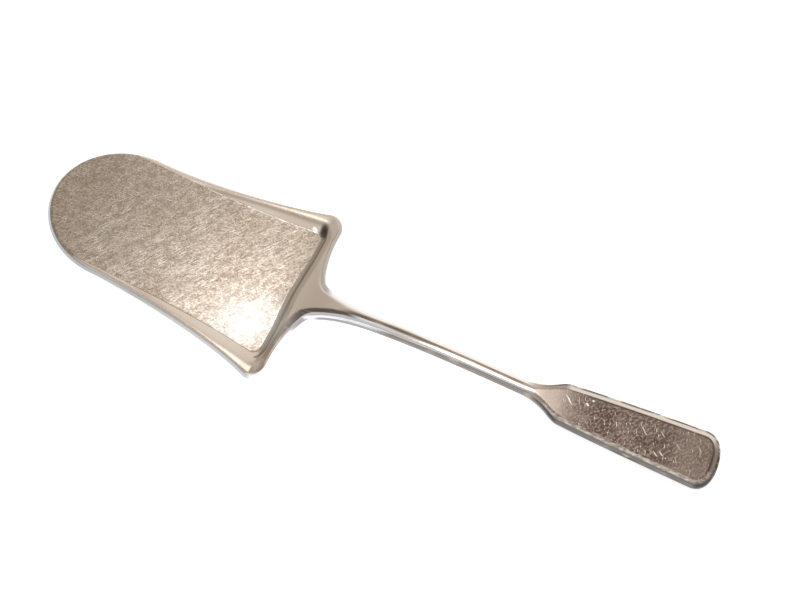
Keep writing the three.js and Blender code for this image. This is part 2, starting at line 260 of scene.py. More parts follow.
@dataclass(frozen=True)
class Stock:
    """The metal's thickness and the shape of its edges, from sheet to bar to spade."""

    lengths: Lengths
    sheet: float = 2.0
    bar: float = 3.8  # also the spade
    blade_edge: float = 2.2  # the rim's outer part, then the flank down to the outline
    flank_share: float = 0.5  # of that edge
    flank_foot: float = 0.18  # share of the sheet from its underside up to the outline
    flank_sharpness: float = 10.0  # of the turn from rim to flank
    rim_crown: float = 0.2  # share of the sheet by which the rim falls towards the flank
    underside_power: float = 8.0
    neck_crown: float = 4.5  # how far in the neck's edges are rounded
    neck_crown_run: float = 8.0  # from the rear edge to where they are so round
    spade_bevel: float = 2.8
    spade_bevel_slope: float = 0.3  # share by which the spade has thinned at its outline
    bar_power: float = 3.2  # gives flat faces and well rounded corners
    spade_power: float = 2.5  # above 2 is squarer than a half round
    thickening_lead: float = 6.0  # the sheet thickens from this far before the heel
    thickening_lag: float = 4.0  # to this far before the neck's end

    def to_neck(self, along: Array) -> Array:
        """Eases from the blade's edge at its rear, 0, to the neck's crown, 1."""
        return smoothstep(along, self.lengths.rear, self.lengths.rear + self.neck_crown_run)

    def to_spade(self, along: Array) -> Array:
        """Eases from the bar's edge, 0, to the spade's, 1."""
        return smoothstep(along, self.lengths.shaft_end, self.lengths.spade_start)

    def thickness(self, along: Array) -> Array:
        """Gives the metal's thickness.

        Args:
            along: Distances from the tip.

        Returns:
            The thickness there, which eases from the sheet's to the bar's along the neck.
        """
        start = self.lengths.heel - self.thickening_lead
        to_bar = smoothstep(along, start, self.lengths.neck_end - self.thickening_lag)
        return lerp(self.sheet, self.bar, to_bar)

    def edge(self, along: Array) -> Array:
        """Gives the width of the edge at stations of the outline."""
        width = lerp(self.blade_edge, self.neck_crown, self.to_neck(along))
        return lerp(width, self.spade_bevel, self.to_spade(along))

    def fullness(self, along: Array, outwards: Array) -> tuple[Array, Array, Array]:
        """Gives how full the section is across its edge.

        Args:
            along: Stations of the outline.
            outwards: How far out through the edge each place lies, 1 at the outline.

        Returns:
            The fullness above and below the outline's level, and that level as a share of the
            thickness. Neck, bar and spade are (1 - x^p)^(1/p), less the bevel. The blade's rim,
            1 - c x^2, meets its flank, (1 - x) / w, as r f / (r^n + f^n)^(1/n), and its
            underside is (1 - x^q)^(1/q).
        """
        to_neck, to_spade = self.to_neck(along), self.to_spade(along)
        power = lerp(self.bar_power, self.spade_power, to_spade)
        bevel = 1 - self.spade_bevel_slope * to_spade * outwards
        rounded = (1 - outwards**power) ** (1 / power) * bevel
        rim = 1 - self.rim_crown * outwards**2
        flank = (1 - outwards) / self.flank_share
        sharp = self.flank_sharpness
        turned = rim * flank / (rim**sharp + flank**sharp) ** (1 / sharp)
        square = (1 - outwards**self.underside_power) ** (1 / self.underside_power)
        level = lerp(self.flank_foot, 0.5, to_neck)
        return lerp(turned, rounded, to_neck), lerp(square, rounded, to_neck), level


class Field(Enum):
    """What is known at each point of the surface, for the finish to follow."""

    ALONG = ("plan", "X")
    ACROSS = ("plan", "Y")
    RIM = ("edge", "X")
    PAN = ("edge", "Y")
    FLANK = ("edge", "Z")


@dataclass
class Shell:
    """A surface before it becomes a mesh: grids of points with what is known at each."""

    points: Array = field(default_factory=lambda: np.zeros((0, 3)))
    # Distance along and across in metres, and which side of the metal
    plan: Array = field(default_factory=lambda: np.zeros((0, 3)))
    # Distance from the outline and from the panel, and how far the edge has turned
    edge: Array = field(default_factory=lambda: np.zeros((0, 3)))
    faces: Array = field(default_factory=lambda: np.zeros((0, 4), int))

    def add_grid(self, points: Array, plan: Array, edge: Array) -> None:
        """Adds a grid of points and the faces between them.

        Args:
            points: The points, as rows by columns by 3.
            plan: What plan holds for them, in the same shape.
            edge: What edge holds for them.
        """
        rows, columns = points.shape[:2]
        index = np.arange(rows * columns).reshape(rows, columns) + len(self.points)
        corners = [index[:-1, :-1], index[1:, :-1], index[1:, 1:], index[:-1, 1:]]
        self.faces = np.concatenate([self.faces, np.stack(corners, -1).reshape(-1, 4)])
        self.points = np.concatenate([self.points, points.reshape(-1, 3)])
        self.plan = np.concatenate([self.plan, plan.reshape(-1, 3)])
        self.edge = np.concatenate([self.edge, edge.reshape(-1, 3)])

    def mesh(self, name: str, cuts: Cuts) -> bpy.types.Mesh:
        """Makes the closed mesh, cut off by planes and capped with flat, sharp-edged faces.

        Args:
            name: The mesh's name.
            cuts: Planes as a point and a normal. What lies on the normal's side goes.

        Returns:
            The mesh, with plan and edge as attributes.
        """
        mesh = bpy.data.meshes.new(name)
        mesh.from_pydata(self.points * MM, [], self.faces.tolist())
        for label, values in (("plan", self.plan), ("edge", self.edge)):
            attribute = mesh.attributes.new(label, "FLOAT_VECTOR", "POINT")
            attribute.data.foreach_set("vector", values.astype(np.float32).ravel())
        work = bmesh.new()
        work.from_mesh(mesh)
        bmesh.ops.remove_doubles(work, verts=work.verts, dist=MERGE)
        bmesh.ops.dissolve_degenerate(work, edges=work.edges, dist=COLLAPSE)
        bmesh.ops.recalc_face_normals(work, faces=work.faces)
        for face in work.faces:
            face.smooth = True
        for point, normal in cuts:
            geometry = [*work.verts, *work.edges, *work.faces]
            plane = {"plane_co": point, "plane_no": normal, "dist": ON_PLANE}
            cut = bmesh.ops.bisect_plane(work, geom=geometry, clear_outer=True, **plane)
            rim = [part for part in cut["geom_cut"] if isinstance(part, bmesh.types.BMEdge)]
            caps = bmesh.ops.holes_fill(work, edges=rim, sides=0)["faces"]
            for sharp in (*rim, *caps):
                sharp.smooth = False
        bmesh.ops.triangulate(work, faces=[face for face in work.faces if len(face.verts) > 4])
        bmesh.ops.recalc_face_normals(work, faces=work.faces)
        work.to_mesh(mesh)
        work.free()
        return mesh


@dataclass(frozen=True)
class Blade:
    """The pressed blade: tip, sides, rear corners and rear edge, with the pan pressed into it."""

    lengths: Lengths
    tip_half_width: float = 25.8
    rear_half_width: float = 36.0
    rear_corner: float = 6.8
    neck_half_width: float = 9.4
    side_flare: float = 20.0
    rear_edge_turn: float = -93.0
    neck_turn: float = -60.0
    panel_inset: float = 2.5
    panel_rear_half_width: float = 26.9
    panel_late_widening: float = 0.86
    panel_corner_radius: float = 3.2
    back_bow: float = 0.9
    back_bow_half_width: float = 18.0
    rim_rise: float = 1.6
    rim_start: float = 37.1
    rim_full_lead: float = 4.0
    back_wall_run: float = 5.0
    side_wall_share: float = 0.62
    underside_foot: float = 0.7
    wall_foot: float = 0.08
    wall_top: float = 0.78
    side_bow: Pair = (0.26, 0.25)
    corner_bow: Pair = (0.3, 0.51)
    rear_bow: Pair = (0.42, 0.2)
    steps: tuple[int, ...] = (64, 100, 36, 50)

    def neck_knot(self) -> Knot:
        """Gives the knot where the rear edge has turned into the neck."""
        along = self.lengths.rear + self.lengths.neck_turn_depth
        return Knot(along, self.neck_half_width, self.neck_turn)

    def panel_half_width(self, along: Array) -> Array:
        """Gives half the panel's width behind the tip.

        Args:
            along: Distances from the tip.

        Returns:
            A width that grows as s + (s^3 - s) w, with s the share of the way to the back.
        """
        lengths = self.lengths
        share = np.clip((along - lengths.tip) / (lengths.heel - lengths.tip), 0, 1)
        widening = lerp(share, share**3, self.panel_late_widening)
        return lerp(self.tip_half_width - self.panel_inset, self.panel_rear_half_width, widening)

    def panel_back(self, across: Array) -> Array:
        """Gives the station of the panel's back edge, which bows forward in the middle."""
        bow = smoothstep(np.abs(across), 0, self.back_bow_half_width)
        return self.lengths.heel + self.back_bow * bow

    def stretches(self) -> list[Stretch]:
        """Gives the blade's part of the outline.

        Returns:
            The stretches from the tip to where the neck begins.
        """
        lengths = self.lengths
        radius = self.panel_corner_radius
        corner_start = lengths.heel + self.back_bow - radius
        side_start = Knot(lengths.tip, self.tip_half_width, 0)
        side_end = Knot(lengths.heel, self.rear_half_width, self.side_flare)
        rear_start = Knot(
            lengths.rear, self.rear_half_width - self.rear_corner, self.rear_edge_turn)

        def ellipse(length: float, half_width: float, share: Array) -> Array:
            """Gives the tip's quarter ellipse: -cos and sin of the share of a quarter turn."""
            along = lengths.tip - length * np.cos(share * QUARTER_TURN)
            return np.stack([along, half_width * np.sin(share * QUARTER_TURN)], axis=-1)

        def inner_side(share: Array) -> Array:
            """Gives the panel's side, straight back at its own half width."""
            along = lerp(lengths.tip, corner_start, share)
            return np.stack([along, self.panel_half_width(along)], axis=-1)

        def inner_corner(share: Array) -> Array:
            """Gives the panel's rounded corner, a quarter circle set against its side."""
            along = corner_start + radius * np.sin(share * QUARTER_TURN)
            across = self.panel_half_width(along) - radius * (1 - np.cos(share * QUARTER_TURN))
            return np.stack([along, across], axis=-1)

        def inner_back(share: Array) -> Array:
            """Gives the panel's bowed back edge, from its corner to the middle."""
            across = lerp(self.panel_rear_half_width - radius, 0, share)
            return np.stack([self.panel_back(across), across], axis=-1)

        inset = self.panel_inset
        tip = partial(ellipse, lengths.tip, self.tip_half_width)
        inner_tip = partial(ellipse, lengths.tip - inset, self.tip_half_width - inset)
        side = Bow(side_start, side_end, *self.side_bow)
        corner = Bow(side_end, rear_start, *self.corner_bow)
        rear = Bow(rear_start, self.neck_knot(), *self.rear_bow)
        outer = (tip, side, corner, rear)
        inner = (inner_tip, inner_side, inner_corner, inner_back)
        return [Stretch(*parts, on_panel=True) for parts in zip(self.steps, outer, inner)]

    def from_panel(self, along: Array, across: Array) -> tuple[Array, Array]:
        """Measures places from the panel's rounded edge.

        Args:
            along: Distance from the tip.
            across: Distance from the centre line.

        Returns:
            The distance outwards, and 0 behind the panel, 1 beside it or between at its corners.
        """
        radius = self.panel_corner_radius
        behind = along - (self.panel_back(across) - radius)
        beside = np.abs(across) - (self.panel_half_width(along) - radius)
        round_corner = (behind > 0) & (beside > 0)
        diagonal = np.hypot(np.maximum(behind, 0), np.maximum(beside, 0))
        distance = np.where(round_corner, diagonal, np.maximum(behind, beside)) - radius
        sideways = (beside / np.maximum(diagonal, TINY)) ** 2
        turn = np.where(round_corner, sideways, beside >= behind)
        return distance, turn

    def rise(self, along: Array, across: Array, reach: Array, shift: float) -> Array:
        """Gives the height of the pressed border above the panel.

        Args:
            along: Distance from the tip.
            across: Distance from the centre line.
            reach: Width of the border where each place lies.
            shift: How much further out the wall's foot lies, as it does underneath.

        Returns:
            0 at the tip, and the rim's rise round the rear. Across the wall the slope grows over
            its foot, stays the same and fades over its top, and this is its sum.
        """
        fade = smoothstep(along, self.rim_start, self.lengths.heel - self.rim_full_lead)
        distance, turn = self.from_panel(along, across)
        run = lerp(self.back_wall_run, self.side_wall_share * reach, turn)
        share = np.clip((distance - shift) / run, 0, 1)
        foot, top = self.wall_foot, self.wall_top
        straight = 1 - foot - top
        curving = np.minimum(share, foot) ** 2 / (2 * foot)
        climbing = np.clip(share - foot, 0, straight)
        levelling = (top - np.minimum(1 - share, top) ** 2 / top) / 2
        height = (curving + climbing + levelling) / (foot / 2 + straight + top / 2)
        return self.rim_rise * fade * height


@dataclass(frozen=True)
class Handle:
    """The forged handle: the neck, the slim bar, its flare and the flat spade."""

    lengths: Lengths
    neck_end_swell: float = 0.35
    shaft_half_width: float = 2.65
    spade_front_half_width: float = 7.9
    spade_end_half_width: float = 10.7
    neck_taper: float = -3.3
    shaft_flare: float = 0.35
    spade_flare: float = 5.0
    spade_end_flare: float = 2.6
    straight_in: float = -90.0
    neck_crowding: float = 1.6
    fan_share: float = 0.8
    neck_bow: Pair = (0.17, 0.59)
    shaft_bow: Pair = (0.12, 0.24)
    flare_bow: Pair = (0.56, 0.22)
    spade_bow: Pair = (0.33, 0.29)
    end_bow: Pair = (0.31, 0.59)
    steps: tuple[int, ...] = (100, 64, 50, 50, 60)

    def stretches(self, neck_knot: Knot) -> list[Stretch]:
        """Gives the handle's part of the outline.

        Args:
            neck_knot: Where the blade's outline has turned into the neck.

        Returns:
            The stretches to the spade's blunt end, whose ribs fan out from one point.
        """
        lengths = self.lengths
        neck_end = Knot(
            lengths.neck_end, self.shaft_half_width + self.neck_end_swell, self.neck_taper)
        shaft_end = Knot(lengths.shaft_end, self.shaft_half_width, self.shaft_flare)
        spade_front = Knot(lengths.spade_start, self.spade_front_half_width, self.spade_flare)
        spade_corner = Knot(lengths.spade_corner, self.spade_end_half_width, self.spade_end_flare)
        end = Knot(lengths.end, 0, self.straight_in)
        fan = lengths.end - self.spade_end_half_width * self.fan_share

        def axis(start: float, stop: float, power: float, share: Array) -> Array:
            """Gives the centre line from start to stop, packed towards start by the power."""
            along = lerp(start, stop, share**power)
            return np.stack([along, np.zeros_like(along)], axis=-1)

        knots = (neck_knot, neck_end, shaft_end, spade_front, spade_corner, end)
        bows = (self.neck_bow, self.shaft_bow, self.flare_bow, self.spade_bow, self.end_bow)
        inner = (lengths.heel, lengths.neck_end, lengths.shaft_end, lengths.spade_start, fan, fan)
        crowding = (self.neck_crowding, 1, 1, 1, 1)
        return [
            Stretch(
                self.steps[i],
                Bow(knots[i], knots[i + 1], *bow),
                partial(axis, inner[i], inner[i + 1], crowding[i]),
            )
            for i, bow in enumerate(bows)
        ]


@dataclass(frozen=True)
class Body:
    """The whole spatula as one surface, before it is cut into its pieces."""

    blade: Blade
    handle: Handle
    stock: Stock
    stance: Stance
    edge_rows: int = 16  # round each half of the edge
    border_rows: int = 28  # from there to the panel or the centre line
    panel_rows: int = 14
    edge_rows_reach: float = 0.8  # the edge's rows take at most this share of a rib
    border_crowding: float = 1.4  # above 1 packs the border's rows towards the panel

    def shell(self) -> Shell:
        """Lays ribs from the outline inwards, on top and below, on both sides.

        Returns:
            The surface. A rib stands off the outline's level by how full the section is there.
        """
        stretches = [*self.blade.stretches(), *self.handle.stretches(self.blade.neck_knot())]
        outer, inner, facing = [], [], []
        for number, stretch in enumerate(stretches):
            share = np.linspace(0, 1, stretch.steps + 1)[min(number, 1):]
            outer.append(stretch.outer(share))
            inner.append(stretch.inner(share))
            facing.append(np.full(len(share), stretch.on_panel))
        outer, inner = np.concatenate(outer)[:, None], np.concatenate(inner)[:, None]
        on_panel = np.concatenate(facing)
        reach = np.linalg.norm(inner - outer, axis=-1)
        rounded = np.minimum(self.stock.edge(outer[..., 0]) / reach, 1)
        edge_share = np.minimum(rounded, self.edge_rows_reach)
        turn = np.linspace(0, QUARTER_TURN, self.edge_rows + 1)
        left = 1 - np.linspace(0, 1, self.border_rows + 1)[1:]
        shares = np.concatenate([
            edge_share * (1 - np.cos(turn)),
            lerp(edge_share, 1, 1 - left**self.border_crowding),
        ], axis=1)
        at = outer + (inner - outer) * shares[..., None]
        outwards = 1 - np.minimum(shares / rounded, 1)
        shell = Shell()
        self.add_sides(shell, outer[..., 0], at, reach, outwards, shares * reach)
        rim = inner[on_panel]
        spread = np.linspace(0, 1, self.panel_rows + 1)[None, :, None]
        middle = rim.copy()
        middle[..., 0] = np.minimum(rim[..., 0], self.blade.lengths.heel)
        middle[..., 1] = 0
        flat = rim + (middle - rim) * spread
        inside = np.zeros(flat.shape[:2])
        far = reach[on_panel] + spread[..., 0] * np.abs(rim[..., 1])
        self.add_sides(shell, outer[on_panel][..., 0], flat, reach[on_panel], inside, far)
        return shell

    def add_sides(
        self, shell: Shell, station: Array, at: Array, reach: Array, outwards: Array, rim: Array
    ) -> None:
        """Adds the top and the underside of ribs, and their mirror images.

        Args:
            shell: The surface that they go into.
            station: Where each rib leaves the outline.
            at: Places in plan, as ribs by rows by 2.
            reach: Each rib's length.
            outwards: How far out through the edge each place lies.
            rim: Distance from the outline.
        """
        along, across = at[..., 0], at[..., 1]
        bottom = self.blade.rise(along, across, reach, self.blade.underside_foot)
        top = self.blade.rise(along, across, reach, 0) + self.stock.thickness(along)
        full_above, full_below, share = self.stock.fullness(station, outwards)
        outline = lerp(bottom, top, share)
        pan = self.blade.from_panel(along, across)[0]
        edge = np.stack([rim, pan, outwards], axis=-1)
        for level, full, face in ((top, full_above, TOP), (bottom, full_below, BELOW)):
            above = lerp(outline, level, full)
            for side in (1, -1):
                points = self.stance.place(along, across * side, above)
                which = np.where(outwards < 1, face, OUTLINE)
                plan = np.stack([along * MM, across * side * MM, which], axis=-1)
                shell.add_grid(points, plan, edge)


@dataclass(frozen=True)
class Joint:
    """The brazed scarf joint in the neck: one inclined plane with a layer of silver solder."""

    setback: float = 13.9  # of its middle from the blade's rear edge
    scarf: float = 24.0  # angle to the neck's length
    solder: float = 0.3

    def cut(self, body: Body, side: int, offset: float) -> tuple[Vector, Vector]:
        """Gives a plane that takes away one end of the body.

        Args:
            body: The surface to be cut.
            side: 1 takes away the spade's end, and -1 the tip's.
            offset: Distance from the joint's middle, towards the spade.

        Returns:
            A point of the plane in metres, and its normal.
        """
        middle = np.array(body.blade.lengths.rear + self.setback)
        turn = body.stance.spine(middle)[1]
        slope = math.atan2(turn[1], turn[0]) + math.radians(90 - self.scarf)
        normal = np.array([math.cos(slope), 0, math.sin(slope)])
        height = body.blade.rim_rise + body.stock.thickness(middle) / 2
        centre = body.stance.place(middle, np.array(0.0), height)
        return Vector((centre + normal * offset) * MM), Vector(normal * side)


def linear(colour: str, level: float = 1.0) -> tuple[float, float, float, float]:
    """Turns an sRGB colour into the linear one that the nodes take.

    Args:
        colour: The colour as six hex digits.
        level: What it is multiplied by once it is linear.

    Returns:
        Red, green, blue and 1.
    """
    parts = [int(colour[i:i + 2], 16) / 255 for i in (0, 2, 4)]
    curved = [p / 12.92 if p <= 0.04045 else ((p + 0.055) / 1.055) ** 2.4 for p in parts]
    return (*(part * level for part in curved), 1.0)


RGBA = {"data_type": "RGBA"}
SMOOTH = {"interpolation_type": "SMOOTHSTEP"}
TEXTURE = {"vector_type": "TEXTURE"}
OPERATIONS = ("MULTIPLY", "MULTIPLY_ADD", "MAXIMUM", "LENGTH", "DOT_PRODUCT")
TIMES, TIMES_PLUS, LARGER, LENGTH, DOT = ({"operation": name} for name in OPERATIONS)
WHITE = (1.0, 1.0, 1.0, 1.0)
CLUMP_WINDOW = (0.42, 0.6)  # of the noise: between clumps, and in them


def add_node(
    tree: Tree,
    kind: str,
    settings: dict[str, object] | None = None,
    inputs: dict[str | int, object] | None = None,
    output: str | int = 0,
) -> Socket:
    """Adds one node with its settings and links.

    Args:
        tree: The node tree that it goes into.
        kind: The node's type, without ShaderNode.
        settings: Its own properties by name.
        inputs: For each socket, a value or the socket that feeds it.
        output: The name or number of the socket to hand back.

    Returns:
        That output socket.
    """
    node = tree.nodes.new("ShaderNode" + kind)
    for name, value in (settings or {}).items():
        setattr(node, name, value)
    for key, value in (inputs or {}).items():
        if isinstance(value, Socket):
            tree.links.new(value, node.inputs[key])
        else:
            node.inputs[key].default_value = value
    return node.outputs[output] if node.outputs else node.inputs[0]


def emptied(owner: bpy.types.Material | bpy.types.World) -> Tree:
    """Gives a material's or world's node tree with nothing in it."""
    owner.use_nodes = True
    owner.node_tree.nodes.clear()
    return owner.node_tree


@dataclass(frozen=True)
class Within:
    """A soft window on one field of the surface."""

    field: Field
    low: float | None  # lowest value at which it is full
    high: float | None
    soft: float  # over how much it fades outside them, in the field's own unit


def zone(**windows: tuple[float | None, float | None, float]) -> tuple[Within, ...]:
    """Gives a window on each field named, from its low, high and soft."""
    return tuple(Within(Field[name.upper()], *window) for name, window in windows.items())


@dataclass(frozen=True)
class Layer:
    """One layer of colour: a noise drawn out along a direction, which covers where it is high."""

    size: Pair  # length and width of its features
    window: Pair  # noise values between which it fades in
    amount: float  # how much it covers at most
    colour: str | None
    within: tuple[Within, ...]
    shift: float  # moves its pattern, so that layers of one size differ
    angle: float = 0.0  # of its features' length, from the spine towards the far side
    roughness: float = 0.0  # what it adds
    height: float = 0.0  # how far it stands proud, or is cut in
    detail: float = 2.0  # number of finer noises on it
    clumps: float = 0.0  # size of its patches, or 0 where it lies all over


@dataclass(frozen=True)
class Mark:
    """One scratch, spot, painted highlight or painted shade: an ellipse on the top side."""

    at: Pair
    size: Pair
    angle: float
    colour: str
    amount: float
    soft: float = 0.6  # share of it that fades towards its outline


@dataclass(frozen=True)
class Finish:
    """A metal, how its surface was made and worn, and the light and shade painted on it."""

    name: str
    colour: str
    roughness: float
    layers: tuple[Layer, ...]  # from the lowest up
    marks: tuple[Mark, ...]  # laid on last

    def material(self) -> bpy.types.Material:
        """Builds the finish out of nodes.

        Returns:
            A new material, with the layers and marks laid over each other in order.
        """
        material = bpy.data.materials.new(self.name)
        tree = emptied(material)
        fields = {
            name: add_node(tree, "Attribute", {"attribute_name": name}, output="Vector")
            for name in ("plan", "edge")
        }
        parts = {
            name: add_node(tree, "SeparateXYZ", inputs={0: socket}).node
            for name, socket in fields.items()
        }
        colour: object = linear(self.colour)
        rough: object = self.roughness
        height: object = 0.0
        for layer in self.layers:
            mask = self.layer_mask(tree, layer, fields["plan"], parts)
            if layer.colour:
                inputs = {0: mask, 6: colour, 7: linear(layer.colour)}
                colour = add_node(tree, "Mix", RGBA, inputs, 2)
            if layer.roughness:
                inputs = {0: mask, 1: layer.roughness, 2: rough}
                rough = add_node(tree, "Math", TIMES_PLUS, inputs)
            if layer.height:
                inputs = {0: mask, 1: layer.height, 2: height}
                height = add_node(tree, "Math", TIMES_PLUS, inputs)
        for mark in self.marks:
            colour = self.lay_mark(tree, mark, fields["plan"], colour)
        normal = add_node(tree, "Bump", inputs={"Height": height, "Distance": MM})
        inputs = {"Base Color": colour, "Metallic": 1.0, "Roughness": rough, "Normal": normal}
        shader = add_node(tree, "BsdfPrincipled", inputs=inputs)
        add_node(tree, "OutputMaterial", inputs={"Surface": shader})
        return material

    @staticmethod
    def layer_mask(
        tree: Tree, layer: Layer, plan: Socket, parts: dict[str, bpy.types.Node]
    ) -> Socket:
        """Works out where a layer covers.

        Args:
            tree: The material's nodes.
            layer: The layer.
            plan: The places in plan.
            parts: The two attributes, each taken apart.

        Returns:
            Its cover, from 0 to its amount.
        """
        turned = add_node(
            tree, "Mapping", TEXTURE,
            {
                "Vector": plan,
                "Location": (layer.shift * MM, layer.shift * MM, 0),
                "Rotation": (0, 0, math.radians(layer.angle)),
                "Scale": (layer.size[0] * MM, layer.size[1] * MM, 1),
            })
        noise = add_node(
            tree, "TexNoise", inputs={"Vector": turned, "Scale": 1.0, "Detail": layer.detail})
        mask = add_node(
            tree, "MapRange", SMOOTH,
            {0: noise, 1: layer.window[0], 2: layer.window[1], 4: layer.amount})
        if layer.clumps:
            patches = add_node(
                tree, "TexNoise",
                inputs={"Vector": plan, "Scale": 1 / (layer.clumps * MM), "Detail": 1.0})
            low, high = CLUMP_WINDOW
            patches = add_node(tree, "MapRange", SMOOTH, {0: patches, 1: low, 2: high})
            mask = add_node(tree, "Math", TIMES, {0: mask, 1: patches})
        for within in layer.within:
            attribute, axis = within.field.value
            value = parts[attribute].outputs[axis]
            unit = MM if attribute == "plan" else 1.0
            for end, way in ((within.low, 1), (within.high, -1)):
                if end is None:
                    continue
                edge = add_node(
                    tree, "MapRange", SMOOTH,
                    {0: value, 1: (end - way * within.soft) * unit, 2: end * unit})
                mask = add_node(tree, "Math", TIMES, {0: mask, 1: edge})
        return mask

    @staticmethod
    def lay_mark(tree: Tree, mark: Mark, plan: Socket, below: object) -> Socket:
        """Lays one mark over the colour.

        Args:
            tree: The material's nodes.
            mark: The mark.
            plan: The places in plan.
            below: The colour so far.

        Returns:
            The colour with the mark on it.
        """
        centred = add_node(
            tree, "Mapping", TEXTURE,
            {
                "Vector": plan,
                "Location": (mark.at[0] * MM, mark.at[1] * MM, 0),
                "Rotation": (0, 0, math.radians(mark.angle)),
                "Scale": (mark.size[0] / 2 * MM, mark.size[1] / 2 * MM, OUTLINE),
            })
        away = add_node(tree, "VectorMath", LENGTH, {0: centred}, "Value")
        mask = add_node(
            tree, "MapRange", SMOOTH, {0: away, 1: 1.0, 2: 1.0 - mark.soft, 4: mark.amount})
        return add_node(tree, "Mix", RGBA, {0: mask, 6: below, 7: linear(mark.colour)}, 2)


LENGTHS = Lengths()
HEEL, REAR, NECK_END = LENGTHS.heel, LENGTHS.rear, LENGTHS.neck_end
SHAFT_END, SPADE, END = LENGTHS.shaft_end, LENGTHS.spade_start, LENGTHS.end

# Where each layer lies, with the near side at minus and the far side at plus. The bands on the
# neck, the bar, the bevels, the flanks, the panel's creases and the back wall are painted
# reflections of a room, light and dark. They are colour, so they stay on the metal whatever the
# light
ON_PANEL = zone(pan=(None, 0, 0.4), along=(None, REAR, 1))
ON_MID_PANEL = (*ON_PANEL, *zone(along=(26, None, 14)))
ON_BRIGHT = zone(along=(REAR - 4, None, 5))
ON_BORDER = zone(pan=(0.1, None, 0.3), along=(None, REAR - 9, 5))
# Painted dark reflection: a dark line along the slope of the pan's back wall
WALL_LINE = (*zone(pan=(2.1, 2.5, 0.6), along=(HEEL + 1, None, 1)), *zone(along=(None, REAR, 3)))
NEAR_SHOULDER = zone(along=(HEEL + 3, REAR + 1, 1.5), across=(None, -7, 4), flank=(None, 0, 0.1))
# Painted highlight: a white line along the panel's far crease
FAR_CREASE_LINE = zone(pan=(-0.1, 0.2, 0.25), across=(-18, None, 6), along=(54, REAR, 10))
# A dark line in the panel's near crease: painted shade, partly dirt
NEAR_CREASE_LINE = zone(pan=(0, 0.25, 0.25), across=(None, -18, 3), along=(50, HEEL, 8))
# Painted dark reflection on the near half of the neck's top
NECK_NEAR_HALF = zone(along=(REAR + 2, NECK_END - 2, 7), across=(None, -0.3, 1), rim=(1.7, 4, 1))
# Painted highlight along the neck's far edge
NECK_FAR_EDGE = zone(
    along=(REAR + 6, SHAFT_END, 5), across=(0.8, None, 0.4), flank=(0.5, None, 0.3))
# Painted reflection: a white band along the neck's near edge
NECK_NEAR_EDGE = zone(
    along=(REAR + 2, NECK_END + 6, 5), across=(None, -1, 0.6), flank=(0.55, 0.9, 0.15))
# Painted shade: a grey line at the neck's near outline
NECK_OUTER_EDGE = zone(
    along=(REAR + 4, NECK_END + 8, 5), across=(None, -1, 0.6), flank=(0.96, None, 0.05))
# Painted reflection: a pale band on the spade's far bevel
FAR_BEVEL = zone(along=(SPADE + 1, END - 5, 3), across=(4.5, None, 0.5), rim=(0.4, 2.4, 0.4))
# Painted highlight, speckled, along the spade's near bevel
NEAR_BEVEL = zone(along=(SPADE - 8, END - 3, 4), across=(None, -3.5, 0.5), rim=(1.2, 2.5, 0.4))
# Painted dark reflection along the bar's crown
BAR_CROWN = zone(along=(NECK_END - 4, SHAFT_END - 2, 7), across=(0.1, 0.6, 0.4))
# Painted highlight along the bar's near rounding
BAR_SHINE = zone(along=(NECK_END - 2, SHAFT_END, 7), across=(-1.5, -0.6, 0.35))
ON_SPADE = zone(along=(SPADE + 7, None, 14), rim=(2.7, None, 0.6))
DULL_SPADE = zone(along=(SPADE - 6, None, 9), rim=(1.3, None, 0.8))
STAINED = zone(along=(SPADE + 14, END - 8, 10), across=(None, 2.5, 4), rim=(3.2, None, 0.6))
FAR_CREASE = zone(along=(SPADE + 14, None, 12), across=(-3, None, 3), rim=(2.7, 3.1, 0.45))
# Dark flanks of the spade: painted shade, a shaded table's reflection, and tarnish
SPADE_FLANK = zone(along=(SPADE - 2, None, 12), flank=(0.75, None, 0.3))
# Grey near flank of the bar: painted shade, partly tarnish
BAR_FLANK = zone(along=(NECK_END + 10, None, 10), across=(None, -1.8, 0.3), rim=(None, 1.1, 0.3))
# Painted reflection: a pale blue-grey flank round the blade
BLADE_FLANK = zone(along=(None, HEEL + 4, 3), flank=(0.6, None, 0.15))
# Painted reflection: a near-white flank on the near part of the rear edge
REAR_NEAR_FLANK = zone(
    along=(HEEL + 4, REAR + 6, 3), across=(None, -4, 3), flank=(0.6, None, 0.15))
SPADE_TAIL = zone(along=(END - 9, None, 15), rim=(2.6, None, 0.6))
# Painted reflection: a grey flank on the far part of the rear edge
REAR_FAR_FLANK = zone(along=(HEEL + 3, REAR + 6, 4), across=(4, None, 3), flank=(0.55, None, 0.15))
